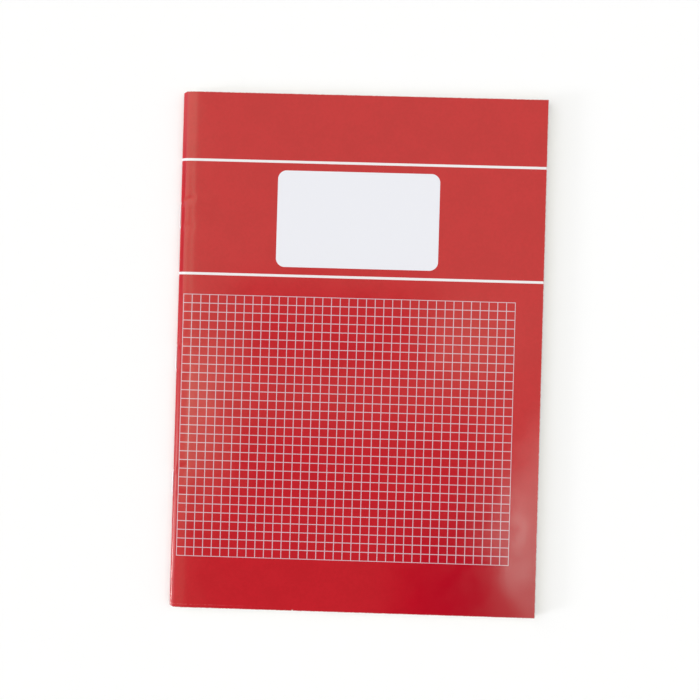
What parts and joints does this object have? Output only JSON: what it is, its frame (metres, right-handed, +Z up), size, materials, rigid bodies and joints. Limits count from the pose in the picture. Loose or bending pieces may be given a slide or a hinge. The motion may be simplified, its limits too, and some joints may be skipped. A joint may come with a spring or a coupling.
{
  "type": "composition notebook",
  "caption": "A4 stapled notebook with glossy card covers, a ruled name panel and squared field in front, hinged covers and wire staples.",
  "frame": {"origin": "centre of the closed notebook's outline, on the surface it lies on", "axes": "+X from the fold to the fore-edge, +Y from foot to head, +Z up through the front cover"},
  "size_m": [0.2106, 0.297, 0.0055],
  "materials": {
    "cover_card": "gloss",
    "leaves": "matte",
    "white_print": "gloss",
    "staple_wire": "satin"
  },
  "bodies": {
    "book_block": {"spine_fold": "cover_card", "page_block": "leaves", "staple_head": "staple_wire", "staple_middle": "staple_wire", "staple_tail": "staple_wire", "spine_rules": "white_print", "spine_grid": "white_print"},
    "front_cover": {"front_cover": "cover_card", "front_rules": "white_print", "name_panel": "white_print", "grid_columns": "white_print", "grid_rows": "white_print"},
    "back_cover": {"back_cover": "cover_card", "back_rules": "white_print"}
  },
  "joints": [
    {"name": "front_cover_hinge", "type": "hinge", "parent": "book_block", "child": "front_cover", "pos_m": [-0.09273, 0, 0.00552], "axis": [0, -1, 0], "range_deg": [0, 180]},
    {"name": "back_cover_hinge", "type": "hinge", "parent": "book_block", "child": "back_cover", "pos_m": [-0.09273, 0, -0.00002], "axis": [0, 1, 0], "range_deg": [0, 180]}
  ]
}
